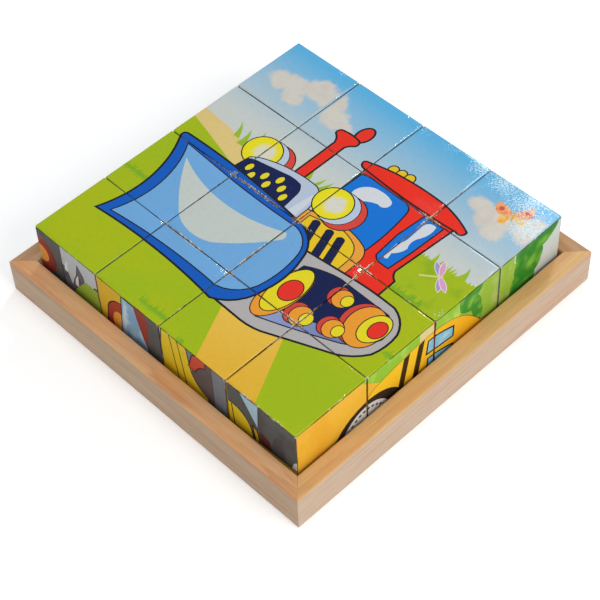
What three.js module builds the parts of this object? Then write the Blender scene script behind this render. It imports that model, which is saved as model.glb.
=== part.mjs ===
// A picture block puzzle: sixteen wooden cubes, each covered with pasted pictures, stand loose
// in a shallow tray of mitred pine rails. The cubes' tops together show one large picture.
// Millimetres. +Z is up, the origin is the middle of the tray's underside, and the player is at -Y.
// Cubes are named like chess squares: columns a to d from left to right, rows 1 to 4 from the player.

import * as THREE from 'three';
import { RoundedBoxGeometry } from 'three/addons/geometries/RoundedBoxGeometry.js';

// Cubes
const columnNames = ['a', 'b', 'c', 'd'];
const cubesPerSide = columnNames.length;
const cubeSize = 30; // over the pictures
const cubeGap = 0.15; // between the pictures of two neighbours
const cubeEdgeRadius = 0.6;
const cubeEdgeSegments = 2;

// Pictures: laminated paper, pasted on all faces
const pictureThickness = 0.15;
const pasteThickness = 0.02;
const pictureMargin = 0.45; // from a picture's edge to the cube's side
const pictureCornerRadius = 0.7;
const pictureCornerSegments = 2;

// Tray
const trayClearance = 1; // from the outer cubes to the rails
const railWidth = 6.8;
const railHeight = 14.3; // from the surface that the tray stands on
const railArrisRadius = 0.7;
const railArrisSegments = 4;
const mitreGlueLine = 0.1;

// Base panel, let into a rebate under the rails
const baseThickness = 1.5;
const rebateDepth = 3;
const baseClearance = 0.2; // round the panel's edge
const baseGlueLine = 0.1; // between the panel and the top of the rebate

// Sizes that follow
const cubePitch = cubeSize + cubeGap;
const coreSize = cubeSize - 2 * (pictureThickness + pasteThickness);
const pictureSize = cubeSize - 2 * pictureMargin;
const trayInside = cubesPerSide * cubePitch - cubeGap + 2 * trayClearance;
const trayOutside = trayInside + 2 * railWidth;
const rebateHeight = baseThickness + baseGlueLine;
const baseSize = trayInside + 2 * (rebateDepth - baseClearance);

// Quarter turns about Z that take a piece from the player's side to each side of the puzzle
const sides = { front: 0, right: 1, back: 2, left: 3 };
const quarterTurn = Math.PI / 2;

const pineFinish = { color: 0xd2a878, roughness: 0.62, metalness: 0 };
const boardFinish = { color: 0xa67c4e, roughness: 0.8, metalness: 0 };
const cubeWoodFinish = { color: 0xd6b37f, roughness: 0.65, metalness: 0 };
const skyPrintFinish = { color: 0x6fb6dc, roughness: 0.3, metalness: 0 };
const grassPrintFinish = { color: 0x9fbe1e, roughness: 0.3, metalness: 0 };
const sidePrintFinish = { color: 0xe5b32a, roughness: 0.3, metalness: 0 };

function namedMesh(name, geometry, finish) {
  const mesh = new THREE.Mesh(geometry, new THREE.MeshStandardMaterial(finish));
  mesh.name = name;
  return mesh;
}

// The rail's section: x runs inwards from the outer face, y upwards. Its upper arrises are rounded
// and its inner lower corner is rebated for the base panel.
function railSection() {
  const innerArris = railWidth - railArrisRadius;
  const arrisStart = railHeight - railArrisRadius;
  const section = new THREE.Shape();
  section.moveTo(0, 0);
  section.lineTo(railWidth - rebateDepth, 0);
  section.lineTo(railWidth - rebateDepth, rebateHeight);
  section.lineTo(railWidth, rebateHeight);
  section.lineTo(railWidth, arrisStart);
  section.absarc(innerArris, arrisStart, railArrisRadius, 0, quarterTurn, false);
  section.lineTo(railArrisRadius, railHeight);
  section.absarc(railArrisRadius, arrisStart, railArrisRadius, quarterTurn, 2 * quarterTurn, false);
  section.closePath();
  return section;
}

// Draws both ends of an extruded rail back along its length by the distance inwards, which makes
// the 45 degree mitres, and by half the glue line.
function cutMitres(geometry) {
  const halfGlueLine = mitreGlueLine / Math.SQRT2;
  const places = geometry.attributes.position;
  for (let i = 0; i < places.count; i += 1) {
    const setBack = places.getX(i) + halfGlueLine;
    const atStart = places.getZ(i) < trayOutside / 2;
    places.setZ(i, atStart ? setBack : trayOutside - setBack);
  }
}

// One mitred rail, made along X on the player's side and turned to its own side.
function rail(side) {
  const geometry = new THREE.ExtrudeGeometry(railSection(), {
    depth: trayOutside,
    bevelEnabled: false,
    curveSegments: railArrisSegments,
  });
  cutMitres(geometry);
  const inwards = new THREE.Vector3(0, 1, 0);
  const upwards = new THREE.Vector3(0, 0, 1);
  const alongRail = new THREE.Vector3(1, 0, 0);
  geometry.applyMatrix4(new THREE.Matrix4().makeBasis(inwards, upwards, alongRail));
  geometry.translate(-trayOutside / 2, -trayOutside / 2, 0);
  const mesh = namedMesh(`tray_rail_${side}`, geometry, pineFinish);
  mesh.rotation.z = sides[side] * quarterTurn;
  return mesh;
}

function basePanel() {
  const geometry = new THREE.BoxGeometry(baseSize, baseSize, baseThickness);
  const mesh = namedMesh('tray_base', geometry, boardFinish);
  mesh.position.z = baseThickness / 2;
  return mesh;
}

function tray() {
  const group = new THREE.Group();
  group.add(...Object.keys(sides).map(rail), basePanel());
  return group;
}

function pictureOutline() {
  const half = pictureSize / 2;
  const corner = half - pictureCornerRadius;
  const outline = new THREE.Shape();
  outline.absarc(corner, corner, pictureCornerRadius, 0, quarterTurn, false);
  outline.absarc(-corner, corner, pictureCornerRadius, quarterTurn, 2 * quarterTurn, false);
  outline.absarc(-corner, -corner, pictureCornerRadius, 2 * quarterTurn, 3 * quarterTurn, false);
  outline.absarc(corner, -corner, pictureCornerRadius, 3 * quarterTurn, 4 * quarterTurn, false);
  return outline;
}

// A picture facing +Z, pasted on the top face of a core that is centred on the origin.
function pictureGeometry() {
  const geometry = new THREE.ExtrudeGeometry(pictureOutline(), {
    depth: pictureThickness,
    bevelEnabled: false,
    curveSegments: pictureCornerSegments,
  });
  geometry.translate(0, 0, coreSize / 2 + pasteThickness);
  return geometry;
}

function topPicture(square, row) {
  const finish = row === cubesPerSide - 1 ? skyPrintFinish : grassPrintFinish;
  return namedMesh(`top_picture_${square}`, pictureGeometry(), finish);
}

function sidePicture(square, side) {
  const geometry = pictureGeometry();
  geometry.rotateX(quarterTurn);
  const mesh = namedMesh(`${side}_picture_${square}`, geometry, sidePrintFinish);
  mesh.rotation.z = sides[side] * quarterTurn;
  return mesh;
}

// The sides on which a cube's picture is on the outside of the block.
function outerSides(column, row) {
  const last = cubesPerSide - 1;
  const outer = { front: row === 0, right: column === last, back: row === last, left: column === 0 };
  return Object.keys(outer).filter((side) => outer[side]);
}

// Loose cubes never stand quite square: each is shifted and turned by a small share of the gap, in
// a sequence that doesn't repeat over the block.
function settling(column, row) {
  const place = column + cubesPerSide * row;
  const shift = cubeGap / 5;
  return {
    x: shift * Math.sin(2.4 * place),
    y: shift * Math.cos(4.1 * place),
    turn: (shift / (cubeSize / 2)) * Math.sin(1.7 * place + 1),
  };
}

function cube(column, row) {
  const square = `${columnNames[column]}${row + 1}`;
  const geometry = new RoundedBoxGeometry(coreSize, coreSize, coreSize, cubeEdgeSegments, cubeEdgeRadius);
  const group = new THREE.Group();
  group.add(namedMesh(`cube_${square}`, geometry, cubeWoodFinish));
  group.add(topPicture(square, row));
  for (const side of outerSides(column, row)) {
    group.add(sidePicture(square, side));
  }
  const middle = (cubesPerSide - 1) / 2;
  const settled = settling(column, row);
  group.position.set(
    (column - middle) * cubePitch + settled.x,
    (row - middle) * cubePitch + settled.y,
    baseThickness + cubeSize / 2,
  );
  group.rotation.z = settled.turn;
  return group;
}

function puzzle() {
  const group = new THREE.Group();
  group.add(tray());
  for (let row = 0; row < cubesPerSide; row += 1) {
    for (let column = 0; column < cubesPerSide; column += 1) {
      group.add(cube(column, row));
    }
  }
  return group;
}

export default puzzle();
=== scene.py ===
"""Looks of a picture block puzzle: sixteen wooden cubes with printed faces in a mitred pine tray.

Every face of every cube carries one of the sixteen pieces of one of six pictures. The pictures are drawn
here as layers of outlines, cut into pieces along the cubes' edges and wrapped a little way over them."""

import math
import random

import bpy
import numpy as np
from mathutils import Matrix, Vector, noise
from mathutils.geometry import delaunay_2d_cdt


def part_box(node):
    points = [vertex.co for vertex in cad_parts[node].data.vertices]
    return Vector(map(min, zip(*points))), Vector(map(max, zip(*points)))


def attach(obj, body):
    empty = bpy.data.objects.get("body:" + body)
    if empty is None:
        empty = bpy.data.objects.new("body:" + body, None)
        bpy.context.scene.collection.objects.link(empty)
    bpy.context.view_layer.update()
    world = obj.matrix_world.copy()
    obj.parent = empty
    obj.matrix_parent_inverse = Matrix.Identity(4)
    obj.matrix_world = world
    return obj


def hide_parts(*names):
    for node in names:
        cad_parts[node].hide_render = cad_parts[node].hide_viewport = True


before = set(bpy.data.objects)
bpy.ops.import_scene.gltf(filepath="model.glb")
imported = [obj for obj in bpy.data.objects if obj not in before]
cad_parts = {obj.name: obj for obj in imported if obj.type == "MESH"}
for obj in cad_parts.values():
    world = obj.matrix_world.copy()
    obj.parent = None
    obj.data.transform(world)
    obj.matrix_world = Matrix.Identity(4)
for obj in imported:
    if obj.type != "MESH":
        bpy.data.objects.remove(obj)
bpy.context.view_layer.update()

MM = 0.001
QUARTER = math.pi / 2

# ---------------------------------------------------------------- sizes, from the frame

COLUMNS = "abcd"
COUNT = len(COLUMNS)


def centre_of(node):
    low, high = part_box(node)
    return (low + high) / 2


BASE_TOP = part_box("tray_base")[1].z
CUBE_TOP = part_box("top_picture_a1")[1].z
CUBE = CUBE_TOP - BASE_TOP  # with its films on
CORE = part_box("cube_a1")[1].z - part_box("cube_a1")[0].z
PITCH = (centre_of("cube_d4").x - centre_of("cube_a1").x) / (COUNT - 1)
FILM = 0.13 * MM  # the printed film and its paste
EDGE_RADIUS = 0.53 * MM  # of a cube with its films on
FLAT = CUBE / 2 - EDGE_RADIUS  # from a face's middle to where its edge starts to round
TILE = PITCH  # the width of one tile of artwork
CORE_RADIUS = EDGE_RADIUS - (CUBE - CORE) / 2

RAILS = ("front", "right", "back", "left")
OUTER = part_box("tray_rail_right")[1].x
RAIL_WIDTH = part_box("tray_rail_right")[1].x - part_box("tray_rail_right")[0].x
RAIL_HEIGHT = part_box("tray_rail_front")[1].z
ARRIS = 0.7 * MM
LOWER_ARRIS = 0.35 * MM
REBATE_WIDTH = 3 * MM
REBATE_TOP = BASE_TOP + 0.1 * MM
MITRE_LINE = 0.05 * MM

# ---------------------------------------------------------------- colours

INK = "#17151b"
PAPER = "#ded3bd"
OLD_PASTE = "#b98a35"
CUT_EDGE = "#5a4630"


def linear(code):
    """The linear colour of an sRGB code such as #80c0ff."""
    values = np.array([int(code[i : i + 2], 16) for i in (1, 3, 5)]) / 255
    return np.where(values <= 0.04045, values / 12.92, ((values + 0.055) / 1.055) ** 2.4)


def mixed(first, second, share):
    """Two colours, as codes or arrays, mixed by an array of shares."""
    first, second = (linear(c) if isinstance(c, str) else c for c in (first, second))
    share = np.clip(share, 0, 1)[:, None]
    return first * (1 - share) + second * share


def smooth_step(values, low, high):
    share = np.clip((values - low) / (high - low), 0, 1)
    return share * share * (3 - 2 * share)


def ripple(points, size, seed, octaves=4):
    """Fractal noise, about -1 to 1, with features of that size."""
    return np.array([noise.fractal((x / size, y / size, seed), 0.7, 2.1, octaves) for x, y in points])


# ---------------------------------------------------------------- outlines: x right, y up, in tiles

ARC_TURN, ARC_STEP = 0.22, 0.1  # an arc's points are no further apart than that angle or that length
MITRE = 0.6  # limits how far an offset line's sharp corners stretch


def line_through(points, closed, side=1):
    """The points (x, y) or (x, y, bow), joined up. bow bends the way to the next point into an arc: it is
    the arc's height over half its chord, positive to the right, or to the left where side is -1."""
    way = []
    for i, point in enumerate(points):
        here = complex(*point[:2])
        way.append(here)
        bow = side * point[2] if len(point) > 2 else 0
        if not bow or (i == len(points) - 1 and not closed):
            continue
        there = complex(*points[(i + 1) % len(points)][:2])
        half = abs(there - here) / 2
        along = (there - here) / (2 * half)
        angle = 4 * math.atan(abs(bow))
        radius = half / math.sin(angle / 2)
        steps = max(math.ceil(angle / ARC_TURN), math.ceil(radius * angle / ARC_STEP))
        for step in range(1, steps):
            turn = angle * (step / steps - 0.5)
            height = math.copysign(radius * (math.cos(turn) - math.cos(angle / 2)), bow)
            way.append((here + there) / 2 + along * (radius * math.sin(turn) - 1j * height))
    return np.array([(p.real, p.imag) for p in way])


def side_of(loop):
    """1 for an anticlockwise loop, -1 for a clockwise one."""
    x, y = loop.T
    return math.copysign(1, (x * np.roll(y, -1) - y * np.roll(x, -1)).sum())


def outline(*points):
    """A closed line in which a positive bow is outwards."""
    return line_through(points, True, side_of(np.array([p[:2] for p in points])))


def ellipse(x, y, across, up=None, tilt=0):
    """An ellipse of those half sizes, tilted by that many degrees."""
    up = up or across
    steps = 14 + 2 * round(24 * max(across, up))
    turns = np.arange(steps) * 2 * math.pi / steps
    c, s = math.cos(math.radians(tilt)), math.sin(math.radians(tilt))
    flat = np.stack((across * np.cos(turns), up * np.sin(turns)), 1)
    return flat @ np.array(((c, s), (-s, c))) + (x, y)


def normals_of(line, closed):
    """Unit normals to the right at the points of a line, stretched where it turns."""
    ways = np.roll(line, -1, 0) - line
    if not closed:
        ways[-1] = ways[-2]
    ways /= np.maximum(np.linalg.norm(ways, axis=1, keepdims=True), 1e-9)
    out = np.stack((ways[:, 1], -ways[:, 0]), 1)
    into = np.roll(out, 1, 0)
    if not closed:
        into[0] = out[0]
    both = out + into
    both /= np.maximum(np.linalg.norm(both, axis=1, keepdims=True), 1e-9)
    return both / np.maximum((both * out).sum(1, keepdims=True), MITRE)


def grown(loop, by):
    """The closed line moved outwards by that much, or inwards where it is negative."""
    return loop + normals_of(loop, closed=True) * by * side_of(loop)


def ribbon(line, width):
    """A band of that width along an open line."""
    aside = normals_of(line, closed=False) * width / 2
    return np.concatenate((line + aside, (line - aside)[::-1]))


def moved(loop, x, y, size=1, flip=False, tilt=0):
    """The line mirrored where flip is set, then scaled, tilted by that many degrees and shifted."""
    c, s = math.cos(math.radians(tilt)), math.sin(math.radians(tilt))
    return loop * ((-size if flip else size), size) @ np.array(((c, s), (-s, c))) + (x, y)


def inside(loop, points):
    """True for each point inside the closed line."""
    found = np.zeros(len(points), bool)
    low, high = loop.min(0), loop.max(0)
    near = np.flatnonzero(((points >= low) & (points <= high)).all(1))
    if not len(near):
        return found
    x, y = points[near].T
    crossings = np.zeros(len(near), int)
    for (ax, ay), (bx, by) in zip(loop, np.roll(loop, -1, 0)):
        if ay != by:
            between = (ay > y) != (by > y)
            crossings += between & (x < ax + (y - ay) * (bx - ax) / (by - ay))
    found[near] = crossings % 2 == 1
    return found


# ---------------------------------------------------------------- artwork


class Picture:
    """Artwork of 4 by 4 tiles. Layers are painted in order, each a shape and a paint. A shape is a closed
    line or an outline's points. A paint is a colour code or, for soft shades, a function from points to
    colours. grain is the spacing of points in soft shades."""

    def __init__(self, ground, grain):
        self.layers = [(None, ground)]
        self.grain = grain

    def fill(self, shape, paint):
        self.layers.append((outline(*shape) if isinstance(shape, tuple) else shape, paint))

    def draw(self, shape, paint, line=0.015):
        """A filled shape with an ink line of that width round it."""
        loop = outline(*shape) if isinstance(shape, tuple) else shape
        self.fill(grown(loop, line / 2), INK)
        self.fill(grown(loop, -line / 2), paint)

    def stroke(self, points, width=0.012, paint=INK):
        """An open line of that width."""
        self.fill(ribbon(line_through(points, False), width), paint)

    def top_layer(self, points):
        """The number of the topmost layer at each point."""
        layer = np.zeros(len(points), int)
        for i, (loop, _) in enumerate(self.layers[1:], 1):
            layer[inside(loop, points)] = i
        return layer

    def soft_points(self):
        """A grid of points where the topmost paint is a soft shade."""
        line = np.arange(-0.02, COUNT + 0.02, self.grain)
        grid = np.stack(np.meshgrid(line, line), -1).reshape(-1, 2)
        grid[:, 0] += self.grain / 2 * (np.arange(len(grid)) // len(line) % 2)
        soft = np.array([callable(paint) for _, paint in self.layers])
        return grid[soft[self.top_layer(grid)]]

    def triangles(self, cuts):
        """The artwork as triangles that follow every outline and the cut lines: points, triangles and the
        colours of each triangle's corners."""
        loops = [loop for loop, _ in self.layers[1:]] + cuts
        points = [p for loop in loops for p in loop]
        edges = []
        for loop in loops:
            start = edges[-1][0] + 1 if edges else 0
            edges += [(start + i, start + (i + 1) % len(loop)) for i in range(len(loop))]
        points = [Vector(p) for p in points] + [Vector(p) for p in self.soft_points()]
        found, _, faces, *_ = delaunay_2d_cdt(points, edges, [], 0, 1e-5, False)
        places = np.array([tuple(p) for p in found])
        faces = np.array(faces)
        layer = self.top_layer(places[faces].mean(1))
        colours = np.zeros((len(faces), 3, 3))
        for i, (_, paint) in enumerate(self.layers):
            mine = layer == i
            if callable(paint) and mine.any():
                used, back = np.unique(faces[mine], return_inverse=True)
                colours[mine] = paint(places[used])[back.reshape(-1, 3)]
            elif mine.any():
                colours[mine] = linear(paint)
        return places, faces, colours


def sky(horizon, puffs, seed, deep="#5bb0de", pale="#c8cdc8", lit="#d2cdc4", shade="#cfc5ba"):
    """A paint: sky that pales downwards, with ragged clouds of round puffs (x, y, radius)."""

    def paint(points):
        x, y = points.T
        height = (y - horizon - 0.25) / (COUNT - horizon - 0.35)
        colour = mixed(pale, deep, height)
        mass = np.full(len(points), -1.0)
        for px, py, radius in puffs:
            mass = np.maximum(mass, 1 - np.hypot(x - px, (y - py) * 1.2) / radius)
        coarse, fine = ripple(points, 0.3, seed, 5), ripple(points, 0.11, seed + 9, 3)
        cloud = mixed(lit, shade, smooth_step(0.7 * coarse + 0.6 * fine, -0.3, 0.9))
        return mixed(colour, cloud, smooth_step(mass + 0.34 * coarse + 0.1 * fine, 0.02, 0.3))

    return paint


def mottled(base, other, size, seed, stretch=1.0, low=0.0, high=0.7):
    """A paint: patches of the other colour on the base colour, stretched upwards by that much."""

    def paint(points):
        return mixed(base, other, smooth_step(ripple(points / (1, stretch), size, seed), low, high))

    return paint


def shaded(base, other, start, end):
    """A paint: base at the first point, turning into other at the second."""
    way = np.subtract(end, start)

    def paint(points):
        return mixed(base, other, smooth_step((points - start) @ way / (way @ way), 0, 1))

    return paint


def glow(base, light, x, y, radius):
    """A paint: a soft light patch on the base colour."""

    def paint(points):
        away = np.hypot(*(points - (x, y)).T) / radius + 0.15 * ripple(points, 0.12, 3, 2)
        return mixed(light, base, smooth_step(away, 0.55, 1.0))

    return paint


def meadow(seed, base="#abba04", other="#9fb90c"):
    """A paint: grass with faint broad patches."""

    def paint(points):
        return mixed(base, other, smooth_step(ripple(points / (1.6, 1), 1.1, seed, 3), -0.5, 0.6))

    return paint


def tuft(picture, x, y, width, seed, paint="#57a318"):
    """A low tuft of short grass."""
    blades = round(width / 0.02)
    top = spiky((x - width / 2, y), (x + width / 2, y + 0.01), 0.09, blades, seed)
    low = spiky((x - width / 2, y), (x + width / 2, y + 0.01), 0.045, blades // 2, seed + 1)
    under = [(px, 2 * y - py - 0.014) for px, py in low]
    picture.fill((*under, *top[::-1]), shaded(paint, "#8db31d", (x, y + 0.05), (x, y - 0.03)))


def spiky(start, end, height, blades, seed):
    """A jagged line of grass blades from one point to another."""
    chance = random.Random(seed)
    start, way = np.array(start), np.subtract(end, start) / blades
    line = []
    for i in range(blades):
        foot = start + way * i
        tip = foot + way * chance.uniform(0.2, 0.9) + (0, height * chance.choice((0.2, 0.45, 0.6, 1)))
        line += [tuple(foot), tuple(tip)]
    return line + [tuple(end)]


def blade_of_grass(picture, x, y, height, lean, paint="#96b928"):
    half = height * 0.2
    picture.fill(((x - half, y), (x + half, y, 0.12), (x + lean, y + height, -0.12)), paint)


def bush(x, y, width, height, bumps, seed):
    """The outline of a bush or of a tree's crown that stands at (x, y)."""
    chance = random.Random(seed)
    points = []
    for i in range(bumps + 1):
        turn, size = math.pi * i / bumps, chance.uniform(0.88, 1.05)
        points.append((x + width / 2 * size * math.cos(turn), y + height * size * math.sin(turn), 0.45))
    return outline(*points[:-1], points[-1][:2])


def wheel(picture, x, y, radius, hub="#d8d6d2", slots=9, tyre="#35271f"):
    """A wheel seen a little from the side, with a ring of slots in its hub."""
    picture.draw(ellipse(x, y, radius), tyre)
    picture.draw(ellipse(x - radius * 0.06, y, radius * 0.73, radius * 0.89), hub)
    for i in range(slots):
        turn = 2 * math.pi * i / slots
        spot = (x + radius * (0.61 * math.cos(turn) - 0.06), y + radius * 0.76 * math.sin(turn))
        picture.fill(ellipse(*spot, 1.3 * radius / slots, radius * 0.03, math.degrees(turn) + 90), INK)
    picture.draw(ellipse(x, y, radius * 0.3), "#8f969e")


# Picture 1, on the tops: a bulldozer in a meadow.


def bulldozer_ground(picture):
    picture.fill(((-0.1, 2.52), (0.45, 2.47), (1.2, 2.3), (1.2, 1.9), (-0.1, 1.9)), "#dfc47e")
    blades = (
        (0.6, 2.42, 0.22, -0.12), (0.72, 2.36, 0.26, -0.07), (0.85, 2.38, 0.32, -0.05),
        (1.64, 2.4, 0.28, -0.05), (1.72, 2.42, 0.24, 0.08), (1.8, 2.42, 0.26, 0.1),
        (3.43, 2.5, 0.22, -0.02), (3.76, 2.5, 0.26, 0.04), (3.82, 2.5, 0.28, -0.04), (3.95, 2.5, 0.2, 0.05)
    )
    for x, y, height, lean in blades:
        blade_of_grass(picture, x, y, height, lean)
    edge = spiky((3.2, 2.56), (4.1, 2.6), 0.1, 22, 8)
    picture.fill(((4.1, 1.8), *edge[::-1], (3.2, 1.8)), mottled("#a4ba0e", "#8fb00f", 0.2, 4))
    near_edge = ((-0.1, 2.36), (0.3, 2.26), (0.8, 2.12), (2.0, 1.99), (3.3, 2.0), (4.1, 2.02))
    picture.fill(((4.1, -0.1), *near_edge[::-1], (-0.1, -0.1)), meadow(2))
    tufts = ((0.2, 1.29, 0.4), (1.8, 0.11, 0.42), (3.5, 2.03, 0.5), (3.98, 1.35, 0.2), (2.3, 0.02, 0.1))
    for x, y, width in tufts:
        tuft(picture, x, y, width, round(10 * x))
    path = ((2.2, 0.8), (2.62, -0.1), (3.47, -0.1), (3.0, 0.85))
    picture.fill(path, shaded("#e8bd4a", "#e2b234", (2.6, 0.9), (3, 0)))


def exhaust_pipe(picture):
    picture.draw(ellipse(1.635, 3.42, 0.088, 0.14, -6), "#ea2f1b", 0.024)
    stack = (
        (1.6, 2.45), (1.6, 3.13, -0.15), (1.67, 3.22, 0.6), (1.63, 3.32, 0.1), (1.42, 3.32, 0.6),
        (1.37, 3.23, -0.2), (1.46, 3.12), (1.46, 2.45)
    )
    picture.draw(stack, "#ea2c18", 0.024)


def headlight(picture, x, y):
    """A round lamp seen half from the side: a red shell, a grey-blue rim and a yellow glass."""
    picture.draw(ellipse(x + 0.18, y - 0.02, 0.25, 0.262), "#d94438", 0.014)
    picture.draw(ellipse(x + 0.085, y - 0.005, 0.245, 0.25), "#b9c7dc", 0.01)
    picture.draw(ellipse(x, y, 0.232, 0.235), glow("#e8dc16", "#d9d6cb", x + 0.03, y, 0.15), 0.014)


def hood(picture):
    shell = (
        (0.9, 2.0), (0.94, 2.31, 0.1), (1.06, 2.39, 0.08), (1.52, 2.5, 0.05), (1.8, 2.5, 0.25), (1.93, 2.36),
        (2.02, 1.9)
    )
    picture.draw(shell, "#b6c3d6", 0.014)
    picture.fill(((1.8, 1.95), (1.85, 2.38, 0.4), (1.9, 2.36), (1.93, 1.95)), "#ccd3dd")
    panel = (
        (0.92, 1.95), (0.93, 2.26, 0.2), (1.03, 2.32), (1.48, 2.41, 0.06), (1.64, 2.4, 0.2), (1.72, 2.28),
        (1.76, 1.95)
    )
    picture.draw(panel, "#04174f", 0.01)
    for x, y, lamps in ((1.05, 2.2, 2), (1.27, 2.22, 2), (1.44, 2.29, 3)):
        for step in range(lamps):
            picture.draw(ellipse(x + 0.1 * step, y - 0.08 * step, 0.042, 0.066, -6), "#e3d42c", 0.012)


def cab(picture):
    body = ((2.02, 1.8), (2.0, 3.05), (3.3, 3.06), (3.24, 2.2, -0.2), (3.33, 2.1), (3.34, 1.8))
    picture.draw(body, "#ec2a16", 0.024)
    front = (
        (2.0, 2.3), (2.02, 2.97, 0.12), (2.15, 3.0), (2.68, 2.99, 0.25), (2.77, 2.9, 0.06), (2.82, 2.2),
        (2.4, 2.0)
    )
    picture.draw(front, "#0072d3", 0.018)
    bean = ((2.13, 2.76, 0.35), (2.34, 2.93, 0.15), (2.54, 2.9, 0.9), (2.46, 2.77, -0.15), (2.28, 2.66, 0.7))
    picture.fill(bean, "#d3d8dd")
    side = (
        (2.94, 2.98), (2.91, 2.6), (2.94, 2.24, 0.2), (3.03, 2.18), (3.16, 2.18), (3.19, 2.5), (3.21, 2.99)
    )
    picture.draw(side, "#0072d3", 0.018)
    glint = (
        (3.02, 2.85, 0.6), (3.14, 2.95, 0.2), (3.12, 2.72, -0.3), (3.12, 2.52, 0.2), (3.04, 2.36),
        (3.06, 2.28, 0.8), (3.0, 2.3), (2.99, 2.5, -0.2), (3.03, 2.66)
    )
    picture.fill(glint, "#d3d8dd")
    for x in (2.23, 2.34, 2.45):
        picture.draw(ellipse(x, 3.25 + (x - 2.23) * 0.12, 0.062, 0.07), "#e6c01e", 0.016)
    roof = (
        (1.905, 3.12, 0.4), (1.98, 3.05, 0.04), (3.33, 3.045, 0.7), (3.42, 3.12, 0.08), (3.0, 3.255, 0.05),
        (2.3, 3.235, 0.03), (1.95, 3.155, 0.3)
    )
    picture.draw(roof, "#ec2a16", 0.024)


def engine_side(picture):
    cover = ((1.97, 1.75), (1.96, 2.2), (2.45, 2.29, 0.1), (2.78, 2.22, 0.25), (2.88, 2.05), (2.88, 1.75))
    picture.draw(cover, "#e9a13a", 0.014)
    inner = ((2.05, 1.75), (2.04, 2.15), (2.45, 2.24, 0.1), (2.68, 2.17, 0.2), (2.78, 2.0), (2.79, 1.75))
    picture.draw(inner, "#e8c31d", 0.012)
    for x in (2.12, 2.32, 2.48):
        slot = ((x, 2.12, 0.6), (x + 0.09, 2.14), (x + 0.22, 1.75), (x + 0.12, 1.75))
        picture.draw(slot, "#091546", 0.01)


def road_wheel(picture, x, y, size):
    picture.draw(ellipse(x - 0.05 * size, y, 0.115 * size, 0.135 * size), "#d0423a", 0.012)
    picture.draw(ellipse(x + 0.01 * size, y, 0.115 * size, 0.125 * size), "#eb9a2c", 0.011)
    picture.draw(ellipse(x + 0.07 * size, y + 0.01, 0.066 * size, 0.08 * size), "#e6d51c", 0.01)


def track(picture):
    belt = (
        (2.1, 0.65), (2.55, 0.64, 0.08), (2.8, 0.68), (3.55, 0.99, 0.14), (3.82, 1.24, 0.14),
        (3.84, 1.6, 0.24), (3.58, 1.84, 0.04), (2.9, 1.82), (2.2, 1.75)
    )
    picture.draw(belt, "#b3aeae", 0.026)
    well = (
        (2.45, 0.9), (2.62, 0.78, 0.02), (3.5, 1.13, 0.2), (3.77, 1.45, 0.3), (3.6, 1.73), (2.9, 1.74, 0.1),
        (2.5, 1.6)
    )
    picture.draw(well, "#06174c", 0.013)
    floor = ((2.5, 0.9), (2.62, 0.79, 0.02), (3.5, 1.14, 0.18), (3.74, 1.4), (3.35, 1.22), (2.75, 1.0))
    picture.fill(floor, shaded("#8e9dc8", "#6f7ba8", (2.6, 0.8), (3.6, 1.3)))
    picture.draw(ellipse(3.48, 1.45, 0.235, 0.29, 12), "#d0423a", 0.012)
    picture.draw(ellipse(3.53, 1.45, 0.215, 0.285, 12), "#eb9a2c", 0.012)
    picture.draw(ellipse(3.62, 1.5, 0.145, 0.215, -6), "#e6d51c", 0.012)
    picture.draw(ellipse(3.655, 1.51, 0.092, 0.125), "#e62e1f", 0.011)
    road_wheel(picture, 3.1, 1.56, 1)
    road_wheel(picture, 2.95, 1.1, 1.12)
    road_wheel(picture, 3.3, 1.21, 1)
    picture.draw(ellipse(2.6, 1.2, 0.19, 0.42, -4), "#eb9a2c", 0.012)
    picture.draw(ellipse(2.61, 1.25, 0.165, 0.36, -2), "#e6d51c", 0.012)
    picture.draw(ellipse(2.64, 1.27, 0.12, 0.155), "#e62e1f", 0.012)


def blade(picture):
    rim = (
        (0.27, 0.64, -0.06), (2.1, 0.625, 0.28), (2.44, 1.08, 0.14), (2.42, 1.64, 0.31), (2.05, 2.0, 0.02),
        (1.2, 2.08, 0.03), (0.18, 2.09, 0.7), (0.14, 2.0, -0.24)
    )
    picture.draw(rim, "#0059bb", 0.026)
    face = (
        (0.42, 0.72, -0.05), (2.02, 0.78, 0.28), (2.35, 1.08, 0.12), (2.34, 1.68, 0.3), (2.05, 1.93, -0.02),
        (1.1, 1.93), (0.29, 1.98, -0.25)
    )
    picture.draw(face, "#6fa8da", 0.016)
    shine = (
        (0.44, 1.82, 0.08), (1.02, 1.18, 0.25), (1.55, 1.15, 0.08), (2.06, 1.68, 0.5), (2.03, 1.8, -0.22)
    )
    picture.fill(shine, "#c3cac5")


def butterfly(picture, x, y, size, tilt):
    lower = outline((0.01, -0.02), (0.14, -0.26, 0.5), (0.28, -0.2, 0.3), (0.2, -0.02))
    upper = outline((0.01, 0.0), (0.22, -0.03, 0.4), (0.38, 0.12, 0.2), (0.36, 0.3, 0.3))
    for flip in (False, True):
        picture.fill(moved(lower, x, y, size, flip, tilt), mottled("#eec65a", "#e88a45", 0.05, 7))
        picture.fill(moved(upper, x, y, size, flip, tilt), mottled("#ef9f5f", "#e2704f", 0.05, 6))
        picture.fill(moved(ellipse(0.26, 0.13, 0.055, 0.06), x, y, size, flip, tilt), "#c9503c")
    picture.fill(moved(ellipse(0, -0.02, 0.03, 0.14), x, y, size, False, tilt), "#dba83a")


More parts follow.
